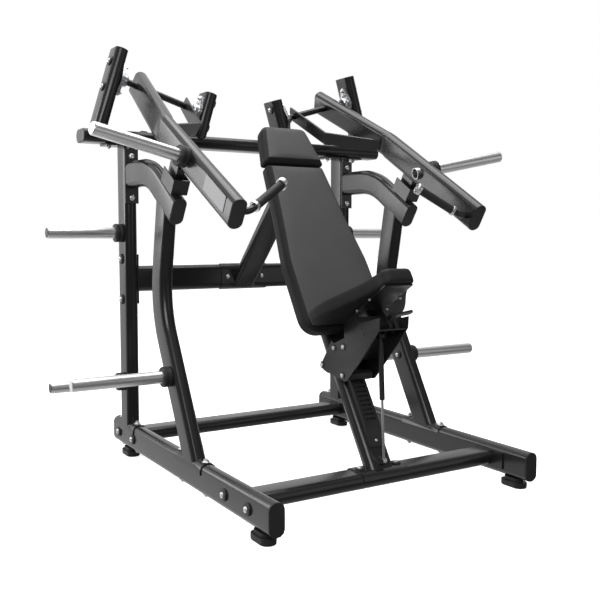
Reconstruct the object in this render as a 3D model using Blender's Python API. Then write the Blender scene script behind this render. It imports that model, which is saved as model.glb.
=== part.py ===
"""Plate-loaded incline chest press machine with two independent press levers.

Metres, +Z up, +X to the user's left hand side when seated, the user faces -Y.
The origin is on the floor under the middle of the frame.
"""
import math

import bmesh
import bpy
from mathutils import Matrix, Vector

# ---------------------------------------------------------------- driving sizes
GAP = 0.0003                # running gap between separate pieces
WALL = 0.003                # frame tube wall
TUBE_WIDE = 0.058           # half of the long side of the flat-oval tube
TUBE_THIN = 0.029           # half of its short side
TUBE_ROUND = 0.024          # depth of each rounded edge
SHEET = 0.004               # saddle sheet thickness
PLATE = 0.006               # end plate thickness

RAIL_X = 0.573
RAIL_Z = 0.095
HALF_LENGTH = 0.740
CAP = 0.006
FOOT_Y = (-0.651, 0.592)
FOOT_HEIGHT = 0.037

FRONT_BAR_Y = -0.508
REAR_BAR_Y = 0.575
COLUMN_Y = 0.594
MIDDLE_BAR_Z = 0.800
TOP_BAR_Z = 1.422
TOP_BAR_HALF = 0.774
TOP_PLATE = 0.008

RECLINE = math.radians(57.5)
POST_BASE = Vector((0.0, -0.405, 0.290))
POST_START = -0.240
POST_END = 1.264
BRACE_LOW = Vector((0.0, 0.5627, 0.790))
BRACE_HIGH = Vector((0.0, 0.189, 1.169))

PIVOT = Vector((0.4165, 0.580, 1.620))
AXLE_TILT = math.radians(16.6)
AXLE_R = 0.015
POST_OFFSET = 0.226
BEARING_FACE = 0.1967
ARM_PLANE = 0.085
ARM_DROP = -0.0094
ARM_BACK = -0.0885
ARM_BEND = 0.4575
ARM_FRONT = Vector((0.553, -0.435, 1.069))

HORN_R = 0.025
COLLAR_R = 0.039
GRIP_R = 0.017
HANDLE_R = 0.013

PAD_THICK = 0.062
PAD_BEVEL = 0.020
PAD_INSET = 0.018
SEAT_SLOPE = math.radians(31.2)
SEAT_NOSE = Vector((0.0, -0.615, 0.886))
SEAT_LENGTH = 0.3565
SEAT_THICK = 0.057

GAS_LOW = Vector((0.0, -0.545, 0.157))
GAS_HIGH = Vector((0.0, -0.516, 0.628))
SEAT_TRAVEL = 0.100

X = Vector((1.0, 0.0, 0.0))
Y = Vector((0.0, 1.0, 0.0))
Z = Vector((0.0, 0.0, 1.0))
UP_POST = Vector((0.0, math.cos(RECLINE), math.sin(RECLINE)))
OUT_POST = Vector((0.0, -math.sin(RECLINE), math.cos(RECLINE)))
ALONG_AXLE = Vector((math.cos(AXLE_TILT), 0.0, math.sin(AXLE_TILT)))
UP_HANGER = Vector((-math.sin(AXLE_TILT), 0.0, math.cos(AXLE_TILT)))

for old in list(bpy.data.objects):
    bpy.data.objects.remove(old, do_unlink=True)


# ---------------------------------------------------------------- materials
def material(name, colour, roughness, metallic):
    mat = bpy.data.materials.new(name)
    mat.use_nodes = True
    shader = mat.node_tree.nodes["Principled BSDF"]
    shader.inputs["Base Color"].default_value = (*colour, 1.0)
    shader.inputs["Roughness"].default_value = roughness
    shader.inputs["Metallic"].default_value = metallic
    return mat


PAINT = material("frame_paint", (0.045, 0.045, 0.048), 0.38, 0.0)
CHROME = material("polished_chrome", (0.80, 0.80, 0.81), 0.08, 1.0)
STEEL = material("bearing_steel", (0.55, 0.56, 0.58), 0.30, 1.0)
RUBBER = material("black_rubber", (0.012, 0.012, 0.012), 0.75, 0.0)
PLASTIC = material("black_plastic", (0.020, 0.020, 0.021), 0.50, 0.0)
PAD_SKIN = material("pad_leatherette", (0.060, 0.060, 0.062), 0.62, 0.0)


# ---------------------------------------------------------------- mesh helpers
def finish(name, mesh_data, mat, angle=35.0):
    bmesh.ops.recalc_face_normals(mesh_data, faces=mesh_data.faces)
    mesh = bpy.data.meshes.new(name)
    mesh_data.to_mesh(mesh)
    mesh_data.free()
    obj = bpy.data.objects.new(name, mesh)
    bpy.context.scene.collection.objects.link(obj)
    mesh.materials.append(mat)
    smooth(obj, angle)
    return obj


def smooth(obj, angle=35.0):
    obj.data.shade_smooth()
    obj.data.set_sharp_from_angle(angle=math.radians(angle))


def oval(grow=0.0, steps=6):
    """Flat-oval outline as (wide, thin) pairs, grown outward by the given amount."""
    flat = TUBE_WIDE - TUBE_ROUND
    depth = TUBE_ROUND + grow
    thin = TUBE_THIN + grow
    points = []
    for side in (1.0, -1.0):
        for i in range(steps + 1):
            turn = math.pi * (i / steps - 0.5)
            points.append((side * (flat + depth * math.cos(turn)), side * thin * math.sin(turn)))
    return points


def rectangle(half_wide, half_thin):
    return [(half_wide, -half_thin), (half_wide, half_thin),
            (-half_wide, half_thin), (-half_wide, -half_thin)]


def ring(outline, centre, wide, thin):
    return [centre + a * wide + b * thin for a, b in outline]


def loft(name, rings, mat, inner=None, angle=35.0):
    """Skin through matching rings; closed ends, or an open tube when inner rings are given."""
    data = bmesh.new()

    def skin(loops):
        made = [[data.verts.new(p) for p in loop] for loop in loops]
        for first, second in zip(made, made[1:]):
            count = len(first)
            for i in range(count):
                j = (i + 1) % count
                data.faces.new((first[i], first[j], second[j], second[i]))
        return made

    outer_verts = skin(rings)
    if inner is None:
        data.faces.new(outer_verts[0])
        data.faces.new(outer_verts[-1])
    else:
        inner_verts = skin(inner)
        for end in (0, -1):
            outside = outer_verts[end]
            inside = inner_verts[end]
            count = len(outside)
            for i in range(count):
                j = (i + 1) % count
                data.faces.new((outside[i], outside[j], inside[j], inside[i]))
    return finish(name, data, mat, angle)


def tube(name, stations, mat, solid=False, grow=0.0):
    """Flat-oval tube through stations of (centre, wide vector, thin vector)."""
    outer = [ring(oval(grow), c, w, t) for c, w, t in stations]
    if solid:
        return loft(name, outer, mat)
    inner = [ring(oval(-WALL), c, w, t) for c, w, t in stations]
    return loft(name, outer, mat, inner)


def prism(name, outline, direction, mat, angle=35.0):
    return loft(name, [outline, [p + direction for p in outline]], mat, angle=angle)


def box(name, centre, size, mat, axes=(X, Y, Z)):
    a, b, c = (axis * (s / 2) for axis, s in zip(axes, size))
    outline = [centre - c + a * i + b * j for i, j in ((-1, -1), (1, -1), (1, 1), (-1, 1))]
    return prism(name, outline, 2 * c, mat)


def side_axes(direction):
    helper = Z if abs(direction.z) < 0.9 else X
    first = direction.cross(helper).normalized()
    return first, direction.cross(first).normalized()


def lathe(name, origin, direction, profile, mat, segments=20, angle=35.0):
    """Turned body: profile of (distance along the axis, radius), starting and ending at radius 0."""
    direction = direction.normalized()
    first, second = side_axes(direction)
    data = bmesh.new()
    loops = []
    for along, radius in profile:
        centre = origin + along * direction
        if radius == 0.0:
            loops.append([data.verts.new(centre)])
            continue
        loop = []
        for i in range(segments):
            turn = 2 * math.pi * i / segments
            loop.append(data.verts.new(centre + radius * (math.cos(turn) * first + math.sin(turn) * second)))
        loops.append(loop)
    for before, after in zip(loops, loops[1:]):
        for i in range(segments):
            j = (i + 1) % segments
            if len(before) == 1:
                data.faces.new((before[0], after[j], after[i]))
            elif len(after) == 1:
                data.faces.new((before[i], before[j], after[0]))
            else:
                data.faces.new((before[i], before[j], after[j], after[i]))
    return finish(name, data, mat, angle)


def sleeve(name, origin, direction, profile, bore, mat, segments=20):
    """Turned body with a through bore: outer profile of (along, radius) from one end to the other."""
    direction = direction.normalized()
    first, second = side_axes(direction)
    pairs = list(profile) + [(profile[-1][0], bore), (profile[0][0], bore)]
    data = bmesh.new()
    loops = []
    for along, radius in pairs:
        loop = []
        for i in range(segments):
            turn = 2 * math.pi * i / segments
            spoke = math.cos(turn) * first + math.sin(turn) * second
            loop.append(data.verts.new(origin + along * direction + radius * spoke))
        loops.append(loop)
    for before, after in zip(loops, loops[1:] + loops[:1]):
        for i in range(segments):
            j = (i + 1) % segments
            data.faces.new((before[i], before[j], after[j], after[i]))
    return finish(name, data, mat)


def rod(start, end, radius, mat, segments=20, name="tool"):
    length = (end - start).length
    return lathe(name, start, end - start, [(0, 0.0), (0, radius), (length, radius), (length, 0.0)],
                 mat, segments)


def combine(obj, others, operation):
    """Boolean the other bodies into obj one after another, then drop them."""
    for other in others:
        step = obj.modifiers.new(operation.lower(), "BOOLEAN")
        step.operation = operation
        step.solver = "EXACT"
        step.object = other
        bpy.context.view_layer.update()
        graph = bpy.context.evaluated_depsgraph_get()
        result = bpy.data.meshes.new_from_object(obj.evaluated_get(graph))
        obj.modifiers.clear()
        obj.data = result
        bpy.data.objects.remove(other, do_unlink=True)
    clean = bmesh.new()
    clean.from_mesh(obj.data)
    bmesh.ops.remove_doubles(clean, verts=clean.verts, dist=0.00002)
    bmesh.ops.dissolve_degenerate(clean, edges=clean.edges, dist=0.00002)
    clean.to_mesh(obj.data)
    clean.free()
    smooth(obj)
    return obj


def add(obj, *others):
    return combine(obj, others, "UNION")


def cut(obj, *others):
    return combine(obj, others, "DIFFERENCE")


def mirror(obj, name):
    """Copy of a piece reflected to the other side of the machine."""
    mesh = obj.data.copy()
    mesh.name = name
    copy = bpy.data.objects.new(name, mesh)
    bpy.context.scene.collection.objects.link(copy)
    mesh.transform(Matrix.Scale(-1.0, 4, X))
    mesh.flip_normals()
    copy.location = Vector((-obj.location.x, obj.location.y, obj.location.z))
    smooth(copy)
    return copy


def set_origin(obj, point):
    obj.data.transform(Matrix.Translation(-point))
    obj.location = point
    return obj


def pair(obj, origin=None):
    """Finish a piece built on the +X side as *_l and make its *_r twin."""
    if origin is not None:
        set_origin(obj, origin)
    base = obj.name
    obj.name = base + "_l"
    obj.data.name = obj.name
    return obj, mirror(obj, base + "_r")


def saddle(grow, along, wide, thin, centre, over_edge, drop):
    """Bent sheet that hugs a flat-oval bar: over its rounded edge, or over its flat face.

    Over an edge, the far leg runs on down the flat side by the drop.
    Over a face, the drop is the angle at which the wrap round each edge stops.
    """
    steps = 6
    flat = TUBE_WIDE - TUBE_ROUND

    def outline(offset):
        depth = TUBE_ROUND + offset
        half = TUBE_THIN + offset
        points = []
        if over_edge:
            for i in range(steps + 1):
                turn = math.pi * (i / steps - 0.5)
                points.append((flat + depth * math.cos(turn), half * math.sin(turn)))
            points.append((flat - drop, half))
            return points
        for side in (1.0, -1.0):
            for i in range(steps // 2 + 1):
                share = i / (steps // 2) if side > 0 else 1 - i / (steps // 2)
                turn = drop + share * (math.pi / 2 - drop)
                points.append((side * (flat + depth * math.cos(turn)), half * math.sin(turn)))
        return points

    outer = outline(grow + SHEET)
    inner = outline(grow)
    loop = [centre + a * wide + b * thin for a, b in outer]
    loop += [centre + a * wide + b * thin for a, b in reversed(inner)]
    return prism("saddle", [p - along / 2 for p in loop], along, PAINT)


def turned(vector, axis, angle):
    return Matrix.Rotation(angle, 3, axis) @ vector


# ---------------------------------------------------------------- base frame
def build_rails():
    reach = HALF_LENGTH - CAP - GAP
    rail = tube("side_rail", [(Vector((RAIL_X, -reach, RAIL_Z)), Z, X),
                              (Vector((RAIL_X, reach, RAIL_Z)), Z, X)], PAINT)
    pair(rail)
    for label, side in (("front", -1), ("rear", 1)):
        stations = ((HALF_LENGTH, 0.0), (HALF_LENGTH - CAP, 0.0),
                    (HALF_LENGTH - CAP, -WALL - GAP), (HALF_LENGTH - 0.026, -WALL - GAP))
        rings = [ring(oval(grow), Vector((RAIL_X, side * y, RAIL_Z)), Z, X) for y, grow in stations]
        pair(loft("rail_cap_" + label, rings, RUBBER))
    for label, y in (("front", FOOT_Y[0]), ("rear", FOOT_Y[1])):
        pair(build_foot("foot_" + label, y))


def build_foot(name, y):
    levels = ((0.0, 0.0555, 0.0285), (0.003, 0.0575, 0.030), (0.022, 0.0575, 0.030),
              (0.022, 0.0425, 0.0225), (FOOT_HEIGHT - GAP, 0.0425, 0.0225))
    rings = []
    for z, half_long, half_wide in levels:
        loop = []
        for side in (1, -1):
            for i in range(9):
                turn = math.pi * (i / 8 - 0.5)
                loop.append(Vector((RAIL_X + side * half_wide * math.sin(turn),
                                    y + side * (half_long - half_wide + half_wide * math.cos(turn)), z)))
        rings.append(loop)
    return loft(name, rings, RUBBER)


def cross_bar(name, centre, wide, thin, half, plate_size):
    """Flat-oval bar across the machine with a welded, vented end plate at each side."""
    bar = tube(name, [(centre - X * (half - 0.002), wide, thin),
                      (centre + X * (half - 0.002), wide, thin)], PAINT)
    plates = [box("plate", centre + X * (side * (half - PLATE / 2)), (PLATE, *plate_size), PAINT)
              for side in (-1, 1)]
    add(bar, *plates)
    return cut(bar, rod(centre - X * (half + 0.01), centre + X * (half + 0.01), 0.015, PAINT))


def build_crossbars():
    half = RAIL_X - TUBE_THIN - GAP
    cross_bar("crossbar_front", Vector((0, FRONT_BAR_Y, RAIL_Z)), Y, Z, half, (0.220, 0.066))
    cross_bar("crossbar_rear", Vector((0, REAR_BAR_Y, RAIL_Z)), Y, Z, half, (0.220, 0.066))
    cross_bar("crossbar_middle", Vector((0, COLUMN_Y, MIDDLE_BAR_Z)), Z, Y, half, (0.080, 0.220))
    tube("crossbar_top", [(Vector((-TOP_BAR_HALF, COLUMN_Y, TOP_BAR_Z)), Y, Z),
                          (Vector((TOP_BAR_HALF, COLUMN_Y, TOP_BAR_Z)), Y, Z)], PAINT)


def rail_tool():
    reach = HALF_LENGTH + 0.01
    return tube("tool", [(Vector((RAIL_X, -reach, RAIL_Z)), Z, X),
                         (Vector((RAIL_X, reach, RAIL_Z)), Z, X)], PAINT, solid=True, grow=GAP)


def build_rear_uprights():
    top = TOP_BAR_Z - TUBE_THIN - GAP
    column = tube("rear_upright", [(Vector((RAIL_X, COLUMN_Y, 0.112)), Y, X),
                                   (Vector((RAIL_X, COLUMN_Y, top - 0.002)), Y, X)], PAINT)
    plate = box("plate", Vector((RAIL_X, COLUMN_Y, top - TOP_PLATE / 2)),
                (0.210, 0.090, TOP_PLATE), PAINT)
    sheet = saddle(GAP, Y * 0.236, Z, X, Vector((RAIL_X, COLUMN_Y, RAIL_Z)), True, 0.015)
    add(column, plate, sheet)
    cut(column, rail_tool(), rod(Vector((RAIL_X, COLUMN_Y, 0.10)), Vector((RAIL_X, COLUMN_Y, 0.25)),
                                 0.015, PAINT))
    pair(column)


# ---------------------------------------------------------------- bracket arms and front uprights
BRACKET_Z = 1.258
BRACKET_TILT = math.radians(32.6)
BRACKET_END = Vector((RAIL_X, 0.026, 1.087))
BRACKET_RADIUS = 0.327


def bracket_stations():
    """From the rear upright forward, round the bend and down to the front end."""
    front = COLUMN_Y - TUBE_WIDE - GAP
    run = (BRACKET_Z - BRACKET_END.z) / math.sin(BRACKET_TILT)
    corner_y = BRACKET_END.y + run * math.cos(BRACKET_TILT)
    start_y = corner_y + BRACKET_RADIUS * math.tan(BRACKET_TILT / 2)
    stations = [(Vector((RAIL_X, front - 0.002, BRACKET_Z)), Z, X)]
    for i in range(7):
        turn = BRACKET_TILT * i / 6
        normal = Vector((0.0, -math.sin(turn), math.cos(turn)))
        centre = Vector((RAIL_X, start_y, BRACKET_Z - BRACKET_RADIUS)) + BRACKET_RADIUS * normal
        stations.append((centre, normal, X))
    normal = Vector((0.0, -math.sin(BRACKET_TILT), math.cos(BRACKET_TILT)))
    stations.append((BRACKET_END, normal, X))
    return stations


def bracket_tool():
    return tube("tool", bracket_stations(), PAINT, solid=True, grow=GAP)


def build_bracket_arms():
    arm = tube("bracket_arm", bracket_stations(), PAINT)
    front = COLUMN_Y - TUBE_WIDE - GAP
    plate = box("plate", Vector((RAIL_X, front - PLATE / 2, 1.252)), (0.060, PLATE, 0.236), PAINT)
    pair(add(arm, plate))


def build_front_uprights():
    """Two straight runs joined by one bend; coped over the rail and under the bracket arm."""
    upper = Vector((0.0, 0.1845, -0.9828))
    lower = Vector((0.0, -0.498, -0.8672))
    corner = Vector((RAIL_X, 0.2168, 0.7077))
    reach = 0.150
    bend = math.acos(upper.dot(lower))
    radius = reach / math.tan(bend / 2)
    toward = Vector((0.0, -upper.z, upper.y)) * -1.0
    hub = corner - reach * upper + radius * toward
    stations = [(corner - 0.460 * upper, toward, X)]
    for i in range(8):
        turn = bend * i / 7
        spoke = turned(toward, X, -turn)
        stations.append((hub - radius * spoke, spoke, X))
    last = (corner.z - 0.085) / -lower.z
    stations.append((corner + last * lower, turned(toward, X, -bend), X))
    post = tube("front_upright", stations, PAINT)
    base = corner + ((corner.z - 0.150) / -lower.z) * lower
    sheet = saddle(GAP, Y * 0.250, Z, X, Vector((RAIL_X, base.y, RAIL_Z)), True, 0.015)
    low = box("low", Vector((RAIL_X, base.y - 0.02, 0.060)), (0.07, 0.30, 0.072), PAINT)
    add(post, sheet)
    centre = Vector((RAIL_X, 0.145, 0.0))
    run = (centre.y - BRACKET_END.y) * math.tan(BRACKET_TILT)
    above = box("above", Vector((RAIL_X, centre.y, BRACKET_END.z + run)) + Vector((0, 0, 0.06)),
                (0.07, 0.40, 0.12), PAINT,
                (X, turned(Y, X, BRACKET_TILT), turned(Z, X, BRACKET_TILT)))
    cut(post, rail_tool(), low, bracket_tool(), above)
    vent = rod(Vector((RAIL_X, base.y, 0.10)), Vector((RAIL_X, base.y, 0.22)), 0.012, PAINT)
    pair(cut(post, vent))


def build_stop_pockets():
    along = Vector((0.0, math.cos(BRACKET_TILT), math.sin(BRACKET_TILT)))
    normal = Vector((0.0, -math.sin(BRACKET_TILT), math.cos(BRACKET_TILT)))
    floor = TUBE_WIDE + GAP
    centre = BRACKET_END + along * 0.082 + normal * (floor + 0.121) / 2
    body = box("stop_pocket", centre, (0.068, 0.115, 0.121 - floor), PAINT, (X, along, normal))
    hollow = box("hollow", BRACKET_END + along * 0.090 + normal * (0.078 + 0.07 / 2),
                 (0.060, 0.118, 0.07), PAINT, (X, along, normal))
    pair(cut(body, hollow))


def horn_profile(length, root, tip_cut=0.004):
    return [(length - 0.006, 0.0), (length - 0.006, HORN_R - WALL), (0.0, HORN_R - WALL),
            (0.0, COLLAR_R), (root, COLLAR_R), (root, HORN_R), (length - tip_cut, HORN_R),
            (length, HORN_R - tip_cut), (length, 0.0)]


def build_storage_horns():
    face = RAIL_X + TUBE_THIN + GAP
    for label, y, z, reach in (("upper", COLUMN_Y, 1.005, 0.930), ("lower", COLUMN_Y, 0.338, 0.930),
                               ("front", 0.060, 0.440, 0.992)):
        horn = lathe("storage_horn_" + label, Vector((face, y, z)), X,
                     horn_profile(reach - face, 0.030), CHROME)
        pair(horn)


# ---------------------------------------------------------------- seat post, brace and backrest
def on_post(along, out, x=0.0):
    return POST_BASE + along * UP_POST + out * OUT_POST + x * X


def post_tool(start=POST_START, end=POST_END):
    return tube("tool", [(on_post(start, 0), X, OUT_POST), (on_post(end, 0), X, OUT_POST)],
                PAINT, solid=True, grow=GAP)


def bar_tool(centre, wide, thin):
    return tube("tool", [(centre - X * 0.3, wide, thin), (centre + X * 0.3, wide, thin)],
                PAINT, solid=True, grow=GAP)


def build_seat_post():
    post = tube("seat_post", [(on_post(POST_START, 0), X, OUT_POST),
                              (on_post(POST_END, 0), X, OUT_POST)], PAINT)
    bar = Vector((0, FRONT_BAR_Y, RAIL_Z))
    sheet = saddle(GAP, X * 0.210, Y, Z, bar, False, 0.15)
    ears = []
    for side in (-1, 1):
        outline = []
        for i in range(9):
            turn = math.radians(120 + 120 * i / 8)
            outline.append(GAS_LOW + Y * 0.010 * math.cos(turn) + Z * 0.010 * math.sin(turn))
        outline += [Vector((0, -0.508, 0.141)), Vector((0, -0.520, 0.176))]
        start = side * 0.0105 - 0.002
        ears.append(prism("ear", [p + X * start for p in outline], X * 0.004, PAINT))
    pin = rod(GAS_LOW - X * 0.0140, GAS_LOW + X * 0.0140, 0.0039, STEEL, 14)
    add(post, sheet, *ears, pin)
    cut(post, bar_tool(bar, Y, Z))


def build_post_cover():
    """Ribbed rack on the front of the post: eleven slots between two smooth lands."""
    outline = [(-0.125, 0.0), (-0.125, 0.005), (-0.100, 0.013), (-0.045, 0.0237),
               (0.200, 0.0237), (0.200, 0.0)]
    face = TUBE_THIN + GAP
    loop = [on_post(p, face + o, -0.035) for p, o in outline]
    cover = prism("seat_post_cover", loop, X * 0.070, PLASTIC)
    slots = [box("slot", on_post(-0.0207 + 0.0186 * i, face + 0.0237), (0.046, 0.0088, 0.016), PLASTIC,
                 (X, UP_POST, OUT_POST)) for i in range(11)]
    cut(cover, *slots)


def build_brace():
    direction = (BRACE_HIGH - BRACE_LOW).normalized()
    normal = Vector((0.0, -direction.z, direction.y))
    brace = tube("backrest_brace", [(BRACE_LOW - direction * 0.050, X, normal),
                                    (BRACE_HIGH + direction * 0.060, X, normal)], PAINT)
    bar = Vector((0, COLUMN_Y, MIDDLE_BAR_Z))
    sheet = saddle(GAP, X * 0.250, Z, -Y, bar, False, 0.15)
    behind = box("behind", Vector((0, COLUMN_Y - 0.0295 + 0.10, MIDDLE_BAR_Z)), (0.40, 0.20, 0.30), PAINT)
    cut(brace, behind)
    add(brace, sheet)
    ahead = box("ahead", on_post(1.0, 0.05), (0.30, 0.80, 0.10), PAINT, (X, UP_POST, OUT_POST))
    cut(brace, bar_tool(bar, Z, Y), post_tool(), ahead)


def build_backrest_frame():
    """Mounting strip on the front of the post with three cross channels for the pads."""
    face = TUBE_THIN + GAP
    strip = box("backrest_frame", on_post(0.785, face + 0.0025), (0.064, 0.880, 0.005), PAINT,
                (X, UP_POST, OUT_POST))
    channels = []
    for along, half in ((0.430, 0.130), (0.930, 0.100), (1.200, 0.070)):
        depth = 0.0374 if along < 1.1 else 0.0434
        web = [(-0.025, 0.0), (0.025, 0.0), (0.025, depth), (-0.025, depth)]
        hollow = [(-0.021, -0.01), (0.021, -0.01), (0.021, depth - 0.004), (-0.021, depth - 0.004)]
        loop = [on_post(along + p, face + o, -half) for p, o in web]
        channel = prism("channel", loop, X * 2 * half, PAINT)
        inside = prism("inside", [on_post(along + p, face + o, -half - 0.01) for p, o in hollow],
                       X * (2 * half + 0.02), PAINT)
        channels.append(cut(channel, inside))
    add(strip, *channels)


def shrink(outline, distance):
    """Move every point of a closed 2-D outline inward along its corner bisector."""
    count = len(outline)
    result = []
    for i in range(count):
        before = Vector(outline[i - 1])
        here = Vector(outline[i])
        after = Vector(outline[(i + 1) % count])
        first = (here - before).normalized()
        second = (after - here).normalized()
        normal = Vector((-first.y - second.y, first.x + second.x)).normalized()
        scale = max(0.5, normal.dot(Vector((-first.y, first.x))))
        result.append(tuple(here + normal * distance / scale))
    return result


def rounded_pad(widths, corners):
    """Symmetric outline (x, along), anticlockwise, from (along, half width) rows, rounded at both ends."""
    low, high = widths[0], widths[-1]
    right = []
    for (along, half), radius, ends in ((low, corners[0], (-90, 0)), (high, corners[1], (0, 90))):
        sign = 1 if along == low[0] else -1
        arc = []
        for i in range(7):
            turn = math.radians(ends[0] + (ends[1] - ends[0]) * i / 6)
            arc.append((half - radius + radius * math.cos(turn),
                        along + sign * radius + radius * math.sin(turn)))
        if along == low[0]:
            right += arc
            right += [(w, a) for a, w in widths[1:-1]]
        else:
            right += arc
    return right + [(-x, a) for x, a in reversed(right)]


def pad_body(name, outline, place, levels):
    rings = []
    for height, inset in levels:
        shape = shrink(outline, inset) if inset > 0 else outline
        rings.append([place(x, along, height) for x, along in shape])
    return loft(name, rings, PAD_SKIN, angle=30.0)


def build_backrest_pads():
    levels = ((0.0, 0.004), (0.004, 0.0), (PAD_THICK - PAD_BEVEL, 0.0), (PAD_THICK, PAD_INSET))
    back_at = TUBE_THIN + 2 * GAP + 0.0374
    outline = rounded_pad([(0.331, 0.200), (0.430, 0.201), (0.637, 0.199), (0.751, 0.183),
                           (0.868, 0.168), (0.985, 0.155), (1.118, 0.141)], (0.062, 0.014))
    pad_body("back_pad", outline, lambda x, a, h: on_post(a, back_at + h, x), levels)
    head_at = TUBE_THIN + 2 * GAP + 0.0434
    outline = rounded_pad([(1.1235, 0.149), (1.200, 0.134), (1.320, 0.110)], (0.014, 0.014))
    pad_body("head_pad", outline, lambda x, a, h: on_post(a, head_at + h, x), levels)


# ---------------------------------------------------------------- seat and its adjustment
SEAT_ALONG = Vector((0.0, math.cos(SEAT_SLOPE), -math.sin(SEAT_SLOPE)))
SEAT_UP = Vector((0.0, math.sin(SEAT_SLOPE), math.cos(SEAT_SLOPE)))


def seat_half_width(s):
    u = min(1.0, max(0.0, (s - 0.02) / 0.30))
    return 0.068 + 0.137 * u * u * (3 - 2 * u)


def build_seat_pad():
    rows = [(s, seat_half_width(s)) for s in (0.0, 0.05, 0.09, 0.13, 0.17, 0.21, 0.25, 0.29, SEAT_LENGTH)]
    outline = rounded_pad(rows, (0.032, 0.035))
    levels = ((0.0, 0.005), (0.005, 0.0), (SEAT_THICK - 0.015, 0.0), (SEAT_THICK - 0.004, 0.006),
              (SEAT_THICK, 0.014))

    def place(x, along, height):
        return SEAT_NOSE + x * X + along * SEAT_ALONG + (height - SEAT_THICK) * SEAT_UP

    pad_body("seat_pad", outline, place, levels)


def yz(points, x=0.0):
    return [Vector((x, y, z)) for y, z in points]


def build_carriage():
    """Welded seat carriage: two side plates round the post, joined by cross sheets."""
    side = [(-0.599, 0.702), (-0.596, 0.659), (-0.539, 0.592), (-0.399, 0.443), (-0.382, 0.438),
            (-0.244, 0.459), (-0.208, 0.474), (-0.290, 0.586), (-0.306, 0.577), (-0.378, 0.606),
            (-0.371, 0.668), (-0.440, 0.7097), (-0.480, 0.674)]
    plates = []
    for sign in (-1, 1):
        start = 0.062 if sign > 0 else -0.067
        plates.append(prism("side", yz(side, start), X * 0.005, PAINT))
    under = SEAT_THICK + GAP
    top = box("top", SEAT_NOSE + SEAT_ALONG * 0.158 - SEAT_UP * (under + 0.003),
              (0.128, 0.260, 0.006), PAINT, (X, SEAT_ALONG, SEAT_UP))
    web = prism("web", yz([(-0.478, 0.655), (-0.478, 0.610), (-0.392, 0.515), (-0.387, 0.519),
                           (-0.473, 0.612), (-0.473, 0.655)], -0.063), X * 0.126, PAINT)
    shelf = prism("shelf", yz([(-0.588, 0.652), (-0.473, 0.652), (-0.473, 0.657), (-0.588, 0.657)],
                              -0.063), X * 0.126, PAINT)
    rear = box("rear", on_post(0.245, -0.0375), (0.126, 0.050, 0.012), PAINT, (X, UP_POST, OUT_POST))
    strut = prism("strut", yz([(-0.440, 0.690), (-0.435, 0.690), (-0.455, 0.655), (-0.460, 0.655)],
                              -0.063), X * 0.126, PAINT)
    ears = []
    for sign in (-1, 1):
        x = sign * 0.0125 - 0.002
        outline = yz([(-0.530, 0.654), (-0.502, 0.654), (-0.504, 0.622), (-0.511, 0.615),
                      (-0.521, 0.615), (-0.528, 0.622)], x)
        ears.append(prism("ear", outline, X * 0.004, PAINT))
    pin = rod(GAS_HIGH - X * 0.0155, GAS_HIGH + X * 0.0155, 0.004, STEEL, 16)
    roller_pin = rod(roller_centre() - X * 0.064, roller_centre() + X * 0.064, 0.005, STEEL, 16)
    lugs = []
    for sign in (-1, 1):
        middle = PADDLE_HINGE + PADDLE_AXIS * (sign * 0.0165)
        lugs.append(box("lug", middle - PADDLE_UP * 0.0265, (0.016, 0.003, 0.069), PAINT,
                        (X, PADDLE_AXIS, PADDLE_UP)))
    hinge_pin = rod(PADDLE_HINGE - PADDLE_AXIS * 0.017, PADDLE_HINGE + PADDLE_AXIS * 0.017, 0.003, STEEL, 12)
    carriage = plates[0]
    carriage.name = "seat_carriage"
    add(carriage, plates[1], top, web, shelf, rear, strut, *ears, pin, roller_pin, *lugs, hinge_pin)
    set_origin(carriage, on_post(0.153, 0.0))


def roller_centre():
    return on_post(0.153, TUBE_THIN + 0.0237 + 2 * GAP + 0.019)


PADDLE_HINGE = Vector((0.030, -0.536, 0.698))
PADDLE_AXIS = SEAT_ALONG
PADDLE_UP = SEAT_UP


def build_seat_parts():
    sleeve_profile = [(-0.050, 0.019), (0.050, 0.019)]
    roller = sleeve("seat_roller", roller_centre(), X, sleeve_profile, 0.0053, PLASTIC)
    set_origin(roller, roller_centre())
    reach = Vector((0.096, -0.012, 0.020))
    outward = (reach - PADDLE_AXIS * reach.dot(PADDLE_AXIS)).normalized()
    up = PADDLE_AXIS.cross(outward).normalized()
    outline = []
    for x, half in ((0.004, 0.0135), (0.035, 0.011), (0.070, 0.0125)):
        outline.append((x, -half))
    for i in range(9):
        turn = math.radians(-80 + 20 * i)
        outline.append((0.095 + 0.0145 * math.cos(turn), 0.0145 * math.sin(turn)))
    for x, half in ((0.070, 0.0125), (0.035, 0.011), (0.004, 0.0135)):
        outline.append((x, half))
    loop = [PADDLE_HINGE + outward * a + PADDLE_AXIS * b - up * 0.004 for a, b in outline]
    paddle = prism("release_paddle", loop, up * 0.008, PLASTIC)
    boss = rod(PADDLE_HINGE - PADDLE_AXIS * 0.0145, PADDLE_HINGE + PADDLE_AXIS * 0.0145, 0.007, PLASTIC, 20)
    bore = rod(PADDLE_HINGE - PADDLE_AXIS * 0.03, PADDLE_HINGE + PADDLE_AXIS * 0.03, 0.0033, PLASTIC, 12)
    add(paddle, boss)
    cut(paddle, bore)
    set_origin(paddle, PADDLE_HINGE)


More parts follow.
